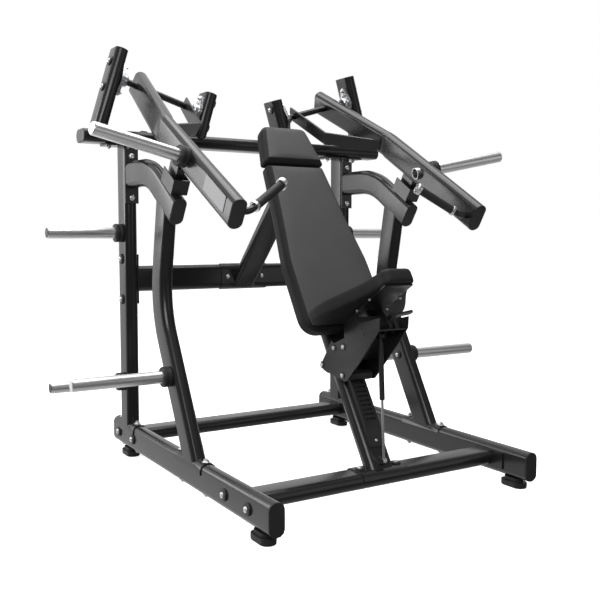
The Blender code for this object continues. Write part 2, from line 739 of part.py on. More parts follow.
def build_gas_spring():
    axis = (GAS_HIGH - GAS_LOW).normalized()
    length = (GAS_HIGH - GAS_LOW).length
    stem = lathe("gas_rod", GAS_LOW, axis,
                 [(0.006, 0.0), (0.006, 0.006), (0.020, 0.006), (0.020, 0.005), (0.262, 0.005),
                  (0.262, 0.0)], CHROME, 20)
    eye = rod(GAS_LOW - X * 0.0080, GAS_LOW + X * 0.0080, 0.009, CHROME, 24)
    add(stem, eye)
    cut(stem, rod(GAS_LOW - X * 0.02, GAS_LOW + X * 0.02, 0.0043, CHROME, 24))
    set_origin(stem, GAS_LOW)
    start = 0.229
    body = lathe("gas_cylinder", GAS_LOW, axis,
                 [(start + 0.190, 0.0), (start + 0.190, 0.0053), (start, 0.0053), (start, 0.009),
                  (start + 0.002, 0.010), (length - 0.030, 0.010), (length - 0.026, 0.007),
                  (length - 0.010, 0.007), (length - 0.010, 0.0)], PLASTIC, 20)
    eye = rod(GAS_HIGH - X * 0.0095, GAS_HIGH + X * 0.0095, 0.0115, PLASTIC, 24)
    add(body, eye)
    cut(body, rod(GAS_HIGH - X * 0.02, GAS_HIGH + X * 0.02, 0.0068, PLASTIC, 24))
    set_origin(body, GAS_HIGH)


# ---------------------------------------------------------------- press levers
def on_lever(s, w, y=0.0):
    return PIVOT + s * ALONG_AXLE + w * UP_HANGER + y * Y


def build_hanger_posts():
    for label, s, top in (("outer", POST_OFFSET, 0.120), ("inner", -POST_OFFSET, 0.094)):
        centre = on_lever(s, 0.0, COLUMN_Y - PIVOT.y)
        post = tube("hanger_post_" + label, [(centre - UP_HANGER * 0.300, Y, ALONG_AXLE),
                                             (centre + UP_HANGER * top, Y, ALONG_AXLE)], PAINT)
        below = box("below", Vector((centre.x, COLUMN_Y, TOP_BAR_Z + 0.014 - 0.25)),
                    (0.40, 0.20, 0.50), PAINT)
        cut(post, below, bar_tool_top())
        pair(post)


def bar_tool_top():
    centre = Vector((0, COLUMN_Y, TOP_BAR_Z))
    return tube("tool", [(centre - X * 0.9, Y, Z), (centre + X * 0.9, Y, Z)], PAINT, solid=True, grow=GAP)


def hull_outline(circles, steps=24):
    """Convex outline round a set of circles (x, y, radius)."""
    points = []
    for cx, cy, r in circles:
        for i in range(steps):
            turn = 2 * math.pi * i / steps
            points.append((cx + r * math.cos(turn), cy + r * math.sin(turn)))
    points.sort()

    def half(items):
        chain = []
        for p in items:
            while len(chain) > 1:
                (ax, ay), (bx, by) = chain[-2], chain[-1]
                if (bx - ax) * (p[1] - ay) - (by - ay) * (p[0] - ax) > 1e-12:
                    break
                chain.pop()
            chain.append(p)
        return chain[:-1]

    return half(points) + half(reversed(points))


def build_bearings():
    shape = hull_outline([(0, 0, 0.038), (0.0585, 0, 0.0155), (-0.0585, 0, 0.0155)])
    for label, sign in (("outer", 1), ("inner", -1)):
        base = on_lever(sign * BEARING_FACE, 0.0)
        inward = ALONG_AXLE * -sign
        outline = [base + UP_HANGER * a + Y * b for a, b in shape]
        flange = prism("flange_bearing_" + label, outline, inward * 0.013, STEEL)
        hub = lathe("hub", base + inward * 0.002, inward,
                    [(0, 0.0), (0, 0.030), (0.026, 0.029), (0.032, 0.024), (0.032, 0.0)], STEEL, 28)
        add(flange, hub)
        cut(flange, rod(base - inward * 0.02, base + inward * 0.06, AXLE_R + GAP, STEEL, 24))
        pair(flange)


UPPER_DIR = -0.48 * UP_HANGER - 0.8773 * Y
UPPER_NORMAL = 0.8773 * UP_HANGER - 0.48 * Y


def arm_point(t):
    return on_lever(ARM_PLANE, 0.0) + t * UPPER_DIR + ARM_DROP * UPPER_NORMAL


def mitre_rings(outline, first, second):
    """Rings of two straight runs that share one bisecting joint plane.

    Each run is (start centre, end centre, wide, thin); the first ends where the second starts.
    """
    a0, corner, wide_a, thin_a = first
    _, b1, wide_b, thin_b = second
    dir_a = (corner - a0).normalized()
    dir_b = (b1 - corner).normalized()
    plane = (dir_a + dir_b).normalized()
    joint = []
    for u, v in outline:
        pa = corner + u * wide_a + v * thin_a
        pa = pa - dir_a * ((pa - corner).dot(plane) / dir_a.dot(plane))
        pb = corner + u * wide_b + v * thin_b
        pb = pb - dir_b * ((pb - corner).dot(plane) / dir_b.dot(plane))
        joint.append((pa + pb) / 2)
    near = 0.030
    return [ring(outline, a0, wide_a, thin_a), ring(outline, corner - dir_a * near, wide_a, thin_a),
            joint, ring(outline, corner + dir_b * near, wide_b, thin_b), ring(outline, b1, wide_b, thin_b)]


def arm_runs():
    corner = arm_point(ARM_BEND)
    lower = (ARM_FRONT - corner).normalized()
    thin = (X - lower * X.dot(lower)).normalized()
    wide = thin.cross(lower).normalized()
    if wide.z < 0:
        wide = -wide
    return ((arm_point(ARM_BACK), corner, UPPER_NORMAL, ALONG_AXLE), (corner, ARM_FRONT, wide, thin))


HORN_START = Vector((0.515, -0.080, 1.269))
HORN_TIP = Vector((0.961, -0.148, 1.362))
HANDLE_ROOT_Y = -0.402


def build_lever_arms():
    first, second = arm_runs()
    outer = mitre_rings(oval(), first, second)
    inner = mitre_rings(oval(-WALL), first, second)
    arm = loft("lever_arm", outer, PAINT, inner)
    stub_along = Vector((0.0, math.cos(BRACKET_TILT), math.sin(BRACKET_TILT)))
    stub_up = Vector((0.0, -math.sin(BRACKET_TILT), math.cos(BRACKET_TILT)))
    base = BRACKET_END + X * 0.001
    stub = box("stub", base + stub_along * 0.0905 + stub_up * (0.0785 + 0.195) / 2,
               (0.032, 0.077, 0.195 - 0.0785), PAINT, (X, stub_along, stub_up))
    middle = first[1]
    lower = (second[1] - middle).normalized()
    keep_out = box("keep", middle + lower * 0.20, (2 * (TUBE_THIN - WALL), 0.60, 2 * (TUBE_WIDE - WALL)),
                   PAINT, (second[3], lower, second[2]))
    cut(stub, keep_out)
    add(arm, lower_part(stub, second))
    axle = rod(on_lever(0.0, 0.0), on_lever(0.16, 0.0), AXLE_R + GAP, PAINT)
    direction = (HORN_TIP - HORN_START).normalized()
    horn = rod(HORN_START - direction * 0.03, HORN_START + direction * 0.13, HORN_R + GAP, PAINT)
    cut(arm, axle, horn)
    pair(arm, PIVOT)


def lower_part(stub, run):
    """Keep only the piece of the stub that lies under the lever arm."""
    corner, front, wide, thin = run
    lower = (front - corner).normalized()
    above = box("above", corner + lower * 0.20 + wide * (0.045 + 0.10), (0.20, 0.60, 0.20), PAINT,
                (thin, lower, wide))
    return cut(stub, above)


def build_lever_cross_bars():
    """Bent flat bar from the axle beside the inner bearing out to the bend of the lever arm."""
    s = -0.130
    knee = Vector((0.330, 0.366, 1.457))
    start = on_lever(s, 0.0)
    along = (knee - start).normalized()
    normal = ALONG_AXLE.cross(along).normalized()
    if normal.z < 0:
        normal = -normal
    across = along.cross(normal).normalized()
    target = Vector((0.545, 0.190, 1.429))
    second = (target - knee).normalized()
    second = (second - normal * second.dot(normal)).normalized()
    across_b = second.cross(normal).normalized()
    half = rectangle(0.030, 0.004)
    first_run = (start - along * 0.040, knee, normal, across)
    second_run = (knee, knee + second * 0.36, normal, across_b)
    rings = mitre_rings(half, first_run, second_run)
    bar = loft("lever_cross_bar", [rings[0], rings[2], rings[4]], PAINT)
    first, lower = arm_runs()
    beyond = TUBE_THIN + 2 * GAP
    corner = first[1]
    cutters = [box("far", corner + lower[3] * (0.20 - beyond), (0.40, 0.60, 0.60), PAINT),
               box("far", corner + ALONG_AXLE * (0.20 - beyond), (0.40, 0.60, 0.60), PAINT,
                   (ALONG_AXLE, Y, UP_HANGER))]
    cut(bar, *cutters)
    cut(bar, rod(on_lever(-0.18, 0), on_lever(-0.08, 0), AXLE_R + GAP, PAINT))
    pair(bar, PIVOT)


def build_axles_and_horns():
    reach = BEARING_FACE - 0.0007
    axle = rod(on_lever(-reach, 0.0), on_lever(reach, 0.0), AXLE_R, STEEL, 24, "lever_axle")
    pair(axle, PIVOT)
    direction = HORN_TIP - HORN_START
    length = direction.length
    root = 0.084
    profile = [(length - 0.006, 0.0), (length - 0.006, HORN_R - WALL), (0.0, HORN_R - WALL),
               (0.0, HORN_R), (root, HORN_R), (root, COLLAR_R), (root + 0.028, COLLAR_R),
               (root + 0.028, HORN_R), (length - 0.004, HORN_R), (length, HORN_R - 0.004), (length, 0.0)]
    horn = lathe("lever_horn", HORN_START, direction, profile, CHROME)
    pair(horn, PIVOT)


GRIP_IN = Vector((0.459, -0.391, 1.098))
GRIP_OUT = Vector((0.319, -0.341, 1.184))


def handle_path():
    direction = (GRIP_OUT - GRIP_IN).normalized()
    corner = GRIP_IN - direction * 0.036
    first, lower = arm_runs()
    face = first[1] + (lower[1] - first[1]) * 0.95 - lower[3] * (TUBE_THIN + 2 * GAP)
    root = Vector((face.x - 0.0006, corner.y, corner.z))
    reach = 0.022
    points = [root]
    for i in range(7):
        t = i / 6
        begin = corner + X * reach
        finish_at = corner + direction * reach
        points.append(begin.lerp(corner, t).lerp(corner.lerp(finish_at, t), t))
    return points, direction


def build_handles():
    points, direction = handle_path()
    length = (GRIP_OUT - GRIP_IN).length
    rows = [(p, HANDLE_R) for p in points]
    for along, radius in ((-0.006, HANDLE_R), (-0.006, 0.020), (0.005, 0.020), (0.005, HANDLE_R),
                          (length - 0.010, HANDLE_R), (length - 0.010, 0.022), (length + 0.006, 0.022),
                          (length + 0.009, 0.019)):
        rows.append((GRIP_IN + direction * along, radius))
    segments = 16
    rings = []
    for i, (centre, radius) in enumerate(rows):
        if i == 0:
            ahead = -X
        elif i < len(points):
            ahead = (rows[min(i + 1, len(points) - 1)][0] - rows[i - 1][0]).normalized()
        else:
            ahead = direction
        side = ahead.cross(Z).normalized()
        up = side.cross(ahead).normalized()
        rings.append([centre + radius * (math.cos(a) * side + math.sin(a) * up)
                      for a in (2 * math.pi * k / segments for k in range(segments))])
    tube_part = loft("handle_tube", rings, PAINT)
    pair(tube_part, PIVOT)
    grip = sleeve("handle_grip", GRIP_IN, direction,
                  [(0.0053, GRIP_R - 0.001), (0.007, GRIP_R), (length - 0.012, GRIP_R),
                   (length - 0.0103, GRIP_R - 0.001)], HANDLE_R + GAP, RUBBER)
    pair(grip, PIVOT)


build_rails()
build_crossbars()
build_rear_uprights()
build_bracket_arms()
build_front_uprights()
build_stop_pockets()
build_storage_horns()
build_seat_post()
build_post_cover()
build_brace()
build_backrest_frame()
build_backrest_pads()
build_seat_pad()
build_carriage()
build_seat_parts()
build_gas_spring()
build_hanger_posts()
build_bearings()
build_lever_arms()
build_lever_cross_bars()
build_axles_and_horns()
build_handles()
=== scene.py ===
"""Finished look of a plate-loaded incline chest press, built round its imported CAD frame.

Metres, +Z up, the user faces -Y. Every CAD node keeps its shape and gets a procedural material;
the three cushions are replaced by upholstered ones, and small fittings are added.
"""
import math

import bmesh
import bpy
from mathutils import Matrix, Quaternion, Vector


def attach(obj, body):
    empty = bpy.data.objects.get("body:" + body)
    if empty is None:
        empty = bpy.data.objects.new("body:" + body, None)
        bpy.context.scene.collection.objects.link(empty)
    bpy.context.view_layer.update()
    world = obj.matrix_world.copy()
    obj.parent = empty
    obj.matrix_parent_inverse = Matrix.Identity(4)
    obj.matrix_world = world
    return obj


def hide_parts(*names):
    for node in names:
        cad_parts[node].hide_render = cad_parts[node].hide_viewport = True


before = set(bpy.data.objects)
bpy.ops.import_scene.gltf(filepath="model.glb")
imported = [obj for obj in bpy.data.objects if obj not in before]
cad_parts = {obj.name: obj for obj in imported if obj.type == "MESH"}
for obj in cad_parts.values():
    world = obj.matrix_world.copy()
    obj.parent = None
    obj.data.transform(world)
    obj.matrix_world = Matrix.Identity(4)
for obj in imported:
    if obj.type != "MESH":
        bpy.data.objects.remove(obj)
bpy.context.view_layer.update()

# ---------------------------------------------------------------- sizes shared with the CAD parts
TUBE_WIDE = 0.058
TUBE_THIN = 0.029
TUBE_ROUND = 0.024
WALL = 0.003
RAIL_X = 0.573
RAIL_Z = 0.095
COLUMN_Y = 0.594
MIDDLE_BAR_Z = 0.800
TOP_BAR_Z = 1.422
TOP_BAR_HALF = 0.774
RECLINE = math.radians(57.5)
POST_BASE = Vector((0.0, -0.405, 0.290))
POST_END = 1.264
BRACKET_TILT = math.radians(32.6)
BRACKET_END = Vector((RAIL_X, 0.026, 1.087))
PIVOT = Vector((0.4165, 0.580, 1.620))
AXLE_TILT = math.radians(16.6)
ARM_FRONT = Vector((0.553, -0.435, 1.069))
HORN_START = Vector((0.515, -0.080, 1.269))
HORN_TIP = Vector((0.961, -0.148, 1.362))
HORN_R = 0.025
COLLAR_R = 0.039
GRIP_IN = Vector((0.459, -0.391, 1.098))
GRIP_OUT = Vector((0.319, -0.341, 1.184))
SEAT_SLOPE = math.radians(31.2)
SEAT_NOSE = Vector((0.0, -0.615, 0.886))
SEAT_THICK = 0.057
PAD_BACK = 0.067
HEAD_BACK = 0.073
CLOTH_FRAMES = 20
CLOTH_PRESSURE = 4.0
SEAM_SINK = 0.0007
BOLT_SIDES = 6
STAGE_RADIUS = 30.0

X = Vector((1.0, 0.0, 0.0))
Y = Vector((0.0, 1.0, 0.0))
Z = Vector((0.0, 0.0, 1.0))
UP_POST = Vector((0.0, math.cos(RECLINE), math.sin(RECLINE)))
OUT_POST = Vector((0.0, -math.sin(RECLINE), math.cos(RECLINE)))
ALONG_AXLE = Vector((math.cos(AXLE_TILT), 0.0, math.sin(AXLE_TILT)))
UP_HANGER = Vector((-math.sin(AXLE_TILT), 0.0, math.cos(AXLE_TILT)))
SEAT_ALONG = Vector((0.0, math.cos(SEAT_SLOPE), -math.sin(SEAT_SLOPE)))
SEAT_UP = Vector((0.0, math.sin(SEAT_SLOPE), math.cos(SEAT_SLOPE)))
SIDES = (("l", 1.0, "left_lever"), ("r", -1.0, "right_lever"))


def on_post(along, out, x=0.0):
    return POST_BASE + along * UP_POST + out * OUT_POST + x * X


def on_lever(s, w, y=0.0):
    return PIVOT + s * ALONG_AXLE + w * UP_HANGER + y * Y


def to_side(vector, side):
    return Vector((vector.x * side, vector.y, vector.z))


# ---------------------------------------------------------------- procedural materials
class Nodes:
    """Small helper that adds shader nodes to one material."""

    def __init__(self, name):
        self.material = bpy.data.materials.new(name)
        self.material.use_nodes = True
        self.tree = self.material.node_tree
        self.shader = self.tree.nodes["Principled BSDF"]
        self.place = self.add("ShaderNodeTexCoord").outputs["Object"]

    def add(self, kind, **settings):
        node = self.tree.nodes.new(kind)
        for key, value in settings.items():
            setattr(node, key, value)
        return node

    def link(self, source, target):
        self.tree.links.new(source, target)

    def noise(self, scale, detail=2.0, roughness=0.5, stretch=None):
        node = self.add("ShaderNodeTexNoise")
        node.inputs["Scale"].default_value = scale
        node.inputs["Detail"].default_value = detail
        node.inputs["Roughness"].default_value = roughness
        place = self.place
        if stretch is not None:
            mapping = self.add("ShaderNodeMapping")
            mapping.inputs["Scale"].default_value = stretch
            self.link(place, mapping.inputs["Vector"])
            place = mapping.outputs["Vector"]
        self.link(place, node.inputs["Vector"])
        return node.outputs["Fac"]

    def cells(self, scale):
        node = self.add("ShaderNodeTexVoronoi")
        node.inputs["Scale"].default_value = scale
        self.link(self.place, node.inputs["Vector"])
        return node.outputs["Distance"]

    def ranged(self, value, low, high, start=0.0, end=1.0):
        node = self.add("ShaderNodeMapRange")
        node.inputs["From Min"].default_value = start
        node.inputs["From Max"].default_value = end
        node.inputs["To Min"].default_value = low
        node.inputs["To Max"].default_value = high
        self.link(value, node.inputs["Value"])
        return node.outputs["Result"]

    def blend(self, factor, first, second):
        node = self.add("ShaderNodeMix", data_type="RGBA")
        for socket, value in ((node.inputs[6], first), (node.inputs[7], second)):
            if isinstance(value, tuple):
                socket.default_value = (*value, 1.0)
            else:
                self.link(value, socket)
        self.link(factor, node.inputs[0])
        return node.outputs[2]

    def edges(self, radius, start, end):
        """Edge wear, 0 on open faces and 1 on edges, with the rounded shading normal."""
        bevel = self.add("ShaderNodeBevel", samples=4)
        bevel.inputs["Radius"].default_value = radius
        dot = self.add("ShaderNodeVectorMath", operation="DOT_PRODUCT")
        self.link(bevel.outputs["Normal"], dot.inputs[0])
        self.link(self.add("ShaderNodeNewGeometry").outputs["Normal"], dot.inputs[1])
        return self.ranged(dot.outputs["Value"], 1.0, 0.0, start, end), bevel.outputs["Normal"]

    def bump(self, height, strength, distance, normal=None):
        node = self.add("ShaderNodeBump")
        node.inputs["Strength"].default_value = strength
        node.inputs["Distance"].default_value = distance
        self.link(height, node.inputs["Height"])
        if normal is not None:
            self.link(normal, node.inputs["Normal"])
        return node.outputs["Normal"]

    def done(self, colour, roughness, normal, **fixed):
        self.link(colour, self.shader.inputs["Base Color"])
        self.link(roughness, self.shader.inputs["Roughness"])
        self.link(normal, self.shader.inputs["Normal"])
        for key, value in fixed.items():
            self.shader.inputs[key.replace("_", " ")].default_value = value
        return self.material


def powder_coat():
    n = Nodes("powder_coat")
    tone = n.blend(n.noise(2.3, 3.0), (0.014, 0.014, 0.015), (0.022, 0.022, 0.023))
    worn, rounded = n.edges(0.0014, 0.70, 0.93)
    scuffs = n.ranged(n.noise(38.0, 5.0, 0.7), 0.0, 0.55, 0.42, 0.70)
    wear = n.add("ShaderNodeMath", operation="MULTIPLY")
    n.link(worn, wear.inputs[0])
    n.link(scuffs, wear.inputs[1])
    colour = n.blend(wear.outputs[0], tone, (0.085, 0.085, 0.088))
    smear = n.ranged(n.noise(5.0, 4.0, 0.6), 0.19, 0.28, 0.3, 0.7)
    peel = n.bump(n.noise(650.0, 2.0), 0.10, 0.0004, rounded)
    return n.done(colour, smear, peel, IOR=1.5)


def chrome():
    n = Nodes("chrome_plate")
    colour = n.blend(n.noise(9.0, 3.0), (0.76, 0.76, 0.77), (0.86, 0.86, 0.87))
    lines = n.noise(60.0, 3.0, 0.6, (0.25, 9.0, 9.0))
    rough = n.ranged(lines, 0.30, 0.38, 0.3, 0.7)
    return n.done(colour, rough, n.bump(lines, 0.05, 0.0002), Metallic=1.0)


def zinc():
    n = Nodes("zinc_plate")
    colour = n.blend(n.noise(140.0, 3.0), (0.50, 0.51, 0.53), (0.72, 0.72, 0.74))
    rough = n.ranged(n.noise(60.0, 4.0), 0.24, 0.42, 0.3, 0.7)
    return n.done(colour, rough, n.bump(n.noise(900.0), 0.14, 0.0003), Metallic=1.0)


def black_steel():
    n = Nodes("black_steel")
    colour = n.blend(n.noise(70.0, 3.0), (0.045, 0.045, 0.047), (0.085, 0.085, 0.088))
    rough = n.ranged(n.noise(50.0, 3.0), 0.26, 0.38, 0.3, 0.7)
    return n.done(colour, rough, n.bump(n.noise(800.0), 0.10, 0.0003), Metallic=1.0)


def rubber():
    n = Nodes("moulded_rubber")
    colour = n.blend(n.noise(14.0, 4.0), (0.011, 0.011, 0.012), (0.024, 0.024, 0.025))
    rough = n.ranged(n.noise(30.0, 3.0), 0.50, 0.66, 0.3, 0.7)
    return n.done(colour, rough, n.bump(n.noise(1100.0, 3.0), 0.25, 0.0004), IOR=1.45)


def plastic():
    n = Nodes("moulded_plastic")
    colour = n.blend(n.noise(20.0, 3.0), (0.016, 0.016, 0.017), (0.026, 0.026, 0.027))
    rough = n.ranged(n.noise(25.0, 3.0), 0.36, 0.48, 0.3, 0.7)
    return n.done(colour, rough, n.bump(n.cells(900.0), 0.20, 0.0003), IOR=1.46)


def leatherette(name, dark, light, ior):
    n = Nodes(name)
    pores = n.cells(620.0)
    grain = n.noise(420.0, 4.0, 0.6)
    mottled = n.blend(n.noise(11.0, 3.0), dark, light)
    colour = n.blend(n.ranged(pores, 0.55, 0.0, 0.1, 0.7), mottled, tuple(c * 0.5 for c in dark))
    rough = n.ranged(grain, 0.46, 0.60, 0.3, 0.7)
    height = n.add("ShaderNodeMath", operation="ADD")
    n.link(pores, height.inputs[0])
    n.link(grain, height.inputs[1])
    normal = n.bump(height.outputs[0], 0.45, 0.0006)
    return n.done(colour, rough, normal, IOR=ior)


def label_metal():
    n = Nodes("brushed_plate")
    lines = n.noise(40.0, 3.0, 0.6, (1.0, 4.0, 60.0))
    colour = n.blend(lines, (0.40, 0.40, 0.41), (0.50, 0.50, 0.51))
    return n.done(colour, n.ranged(lines, 0.40, 0.52), n.bump(lines, 0.10, 0.0002), IOR=1.45)


def grip_rubber():
    n = Nodes("grip_rubber")
    wave = n.add("ShaderNodeTexWave", wave_type="BANDS", bands_direction="DIAGONAL")
    wave.inputs["Scale"].default_value = 150.0
    wave.inputs["Distortion"].default_value = 1.5
    n.link(n.place, wave.inputs["Vector"])
    colour = n.blend(n.noise(40.0, 3.0), (0.013, 0.013, 0.014), (0.028, 0.028, 0.029))
    rough = n.ranged(n.noise(90.0, 3.0), 0.48, 0.62, 0.3, 0.7)
    return n.done(colour, rough, n.bump(wave.outputs["Fac"], 0.16, 0.0004), IOR=1.45)


PAINT = powder_coat()
CHROME = chrome()
STEEL = zinc()
DARK_STEEL = black_steel()
RUBBER = rubber()
PLASTIC = plastic()
LEATHER = leatherette("leatherette", (0.060, 0.060, 0.062), (0.076, 0.076, 0.078), 1.45)
# The same leatherette made darker for the cushion sides and backs is painted shade; it also has a lower IOR.
SIDE_LEATHER_PAINTED_SHADE = leatherette("leatherette_side_painted_shade", (0.018, 0.018, 0.019), (0.025, 0.025, 0.026), 1.28)
LABEL = label_metal()
GRIP = grip_rubber()


# ---------------------------------------------------------------- CAD nodes: shading and materials
def soften_shading(mesh, angle=38.0):
    """Smooth shading across shallow edges. Only the shading normals are set, no vertex moves."""
    limit = math.cos(math.radians(angle))
    corners = {}
    for face in mesh.polygons:
        weighted = face.normal * face.area
        for loop in face.loop_indices:
            point = mesh.vertices[mesh.loops[loop].vertex_index].co
            key = tuple(round(c, 5) for c in point)
            corners.setdefault(key, []).append((loop, face.normal.copy(), weighted))
    normals = [None] * len(mesh.loops)
    for group in corners.values():
        for loop, normal, _ in group:
            total = Vector((0.0, 0.0, 0.0))
            for _, other, weighted in group:
                if normal.dot(other) > limit:
                    total += weighted
            normals[loop] = total.normalized() if total.length > 1e-12 else normal
    mesh.shade_smooth()
    mesh.normals_split_custom_set(normals)


def finish_cad_nodes():
    by_slot = {"frame_paint": PAINT, "polished_chrome": CHROME, "bearing_steel": STEEL,
               "black_rubber": RUBBER, "black_plastic": PLASTIC, "pad_leatherette": LEATHER}
    for name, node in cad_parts.items():
        for entry in node.material_slots:
            entry.material = by_slot[entry.material.name.split(".")[0]]
        if name.startswith("handle_grip"):
            node.material_slots[0].material = GRIP
        if name.startswith("lever_axle"):
            node.material_slots[0].material = DARK_STEEL
        soften_shading(node.data)


# ---------------------------------------------------------------- mesh helpers
def piece(name, data, mat, body, angle=35.0):
    bmesh.ops.recalc_face_normals(data, faces=data.faces)
    mesh = bpy.data.meshes.new(name)
    data.to_mesh(mesh)
    data.free()
    mesh.materials.append(mat)
    obj = bpy.data.objects.new(name, mesh)
    bpy.context.scene.collection.objects.link(obj)
    mesh.shade_smooth()
    mesh.set_sharp_from_angle(angle=math.radians(angle))
    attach(obj, body)
    return obj


def skin(data, loops, closed=False):
    """Quads between matching loops of points, with flat ends or closed on itself."""
    made = [[data.verts.new(p) for p in loop] for loop in loops]
    pairs = list(zip(made, made[1:]))
    if closed:
        pairs.append((made[-1], made[0]))
    for first, second in pairs:
        count = len(first)
        for i in range(count):
            j = (i + 1) % count
            data.faces.new((first[i], first[j], second[j], second[i]))
    if not closed:
        data.faces.new(made[0])
        data.faces.new(made[-1])


def side_axes(direction):
    helper = Z if abs(direction.z) < 0.9 else X
    first = direction.cross(helper).normalized()
    return first, direction.cross(first).normalized()


def turned(data, origin, direction, profile, segments=32, closed=False, sides=0):
    """Body of revolution from (along, radius) pairs; rings with a negative radius are polygons."""
    direction = direction.normalized()
    first, second = side_axes(direction)
    loops = []
    for along, radius in profile:
        loop = []
        for i in range(segments):
            turn = 2 * math.pi * i / segments
            size = abs(radius)
            if radius < 0:
                part = 2 * math.pi / sides
                size /= math.cos(turn % part - part / 2)
            spoke = math.cos(turn) * first + math.sin(turn) * second
            loop.append(origin + along * direction + size * spoke)
        loops.append(loop)
    skin(data, loops, closed)


def slab(data, centre, axes, half, height, bevel):
    """Flat block with chamfered top edges; axes are (long, wide, up), centre is on its base."""
    loops = []
    for rise, inset in ((0.0, 0.0), (height - bevel, 0.0), (height, bevel)):
        a, b = half[0] - inset, half[1] - inset
        corner = min(a, b) * 0.16
        loop = []
        for i, (sa, sb) in enumerate(((1, 1), (-1, 1), (-1, -1), (1, -1))):
            for k in range(5):
                turn = math.pi / 2 * (i + k / 4)
                loop.append(centre + axes[0] * (sa * (a - corner) + corner * math.cos(turn))
                            + axes[1] * (sb * (b - corner) + corner * math.sin(turn))
                            + axes[2] * rise)
        loops.append(loop)
    skin(data, loops)


def oval(grow, steps=10):
    flat = TUBE_WIDE - TUBE_ROUND
    depth = TUBE_ROUND + grow
    points = []
    for side in (1.0, -1.0):
        for i in range(steps + 1):
            turn = math.pi * (i / steps - 0.5)
            points.append((side * (flat + depth * math.cos(turn)),
                           side * (TUBE_THIN + grow) * math.sin(turn)))
    return points


def tube_plug(data, end, outward, wide, thin, depth=0.004):
    """Domed plastic plug that closes the end of a flat-oval tube, with its spigot inside."""
    loops = []
    for along, grow in ((-0.014, -WALL - 0.0010), (-0.012, -WALL - 0.0004), (0.0003, -WALL - 0.0004),
                        (0.0003, -0.0002), (depth * 0.60, -0.0006), (depth * 0.90, -0.0026),
                        (depth, -0.0060), (depth + 0.0006, -0.0130)):
        loops.append([end + outward * along + wide * a + thin * b for a, b in oval(grow)])
    skin(data, loops)


# ---------------------------------------------------------------- fasteners
DOME = ((0.0, 0.0096), (0.0018, 0.0100), (0.0042, 0.0092), (0.0060, 0.0070), (0.0066, 0.0048),
        (0.0066, -0.0036), (0.0034, -0.0034))
NUT = ((0.0, -0.0084), (0.0008, -0.0088), (0.0072, -0.0088), (0.0080, 0.0080), (0.0080, 0.0050),
       (0.0120, 0.0048), (0.0126, 0.0040))
WASHER = ((0.0, 0.0150), (0.0005, 0.0160), (0.0018, 0.0160), (0.0024, 0.0152))
# A thick moulded cup washer; a bolt head sits in its recess.
CUP = ((0.0, 0.0188), (0.0006, 0.0198), (0.0046, 0.0198), (0.0066, 0.0184), (0.0070, 0.0150),
       (0.0068, 0.0122), (0.0054, 0.0112))


class Hardware:
    """Collects the bolts, nuts and washers of one area into two joined pieces."""

    def __init__(self, label, body):
        self.label, self.body = label, body
        self.bright, self.dark = bmesh.new(), bmesh.new()

    def dome(self, point, direction, scale=1.0, washer=CUP):
        direction = direction.normalized()
        base = point.copy()
        if washer:
            turned(self.dark, point - direction * 0.0004, direction,
                   [(a * scale, r * scale) for a, r in washer], 36)
            base = point + direction * (washer[-1][0] - 0.0006) * scale
        turned(self.bright, base, direction, [(a * scale, r * scale) for a, r in DOME], 30, sides=BOLT_SIDES)

    def nut(self, point, direction, scale=1.0, washer=True):
        direction = direction.normalized()
        base = point.copy()
        if washer:
            turned(self.bright, point - direction * 0.0004, direction,
                   [(a * scale, r * scale) for a, r in WASHER], 28)
            base = point + direction * 0.0018 * scale
        turned(self.bright, base, direction, [(a * scale, r * scale) for a, r in NUT], 30, sides=BOLT_SIDES)

    def finish(self):
        if self.bright.verts:
            piece("bolts_" + self.label, self.bright, CHROME, self.body)
        if self.dark.verts:
            piece("washers_" + self.label, self.dark, PLASTIC, self.body)


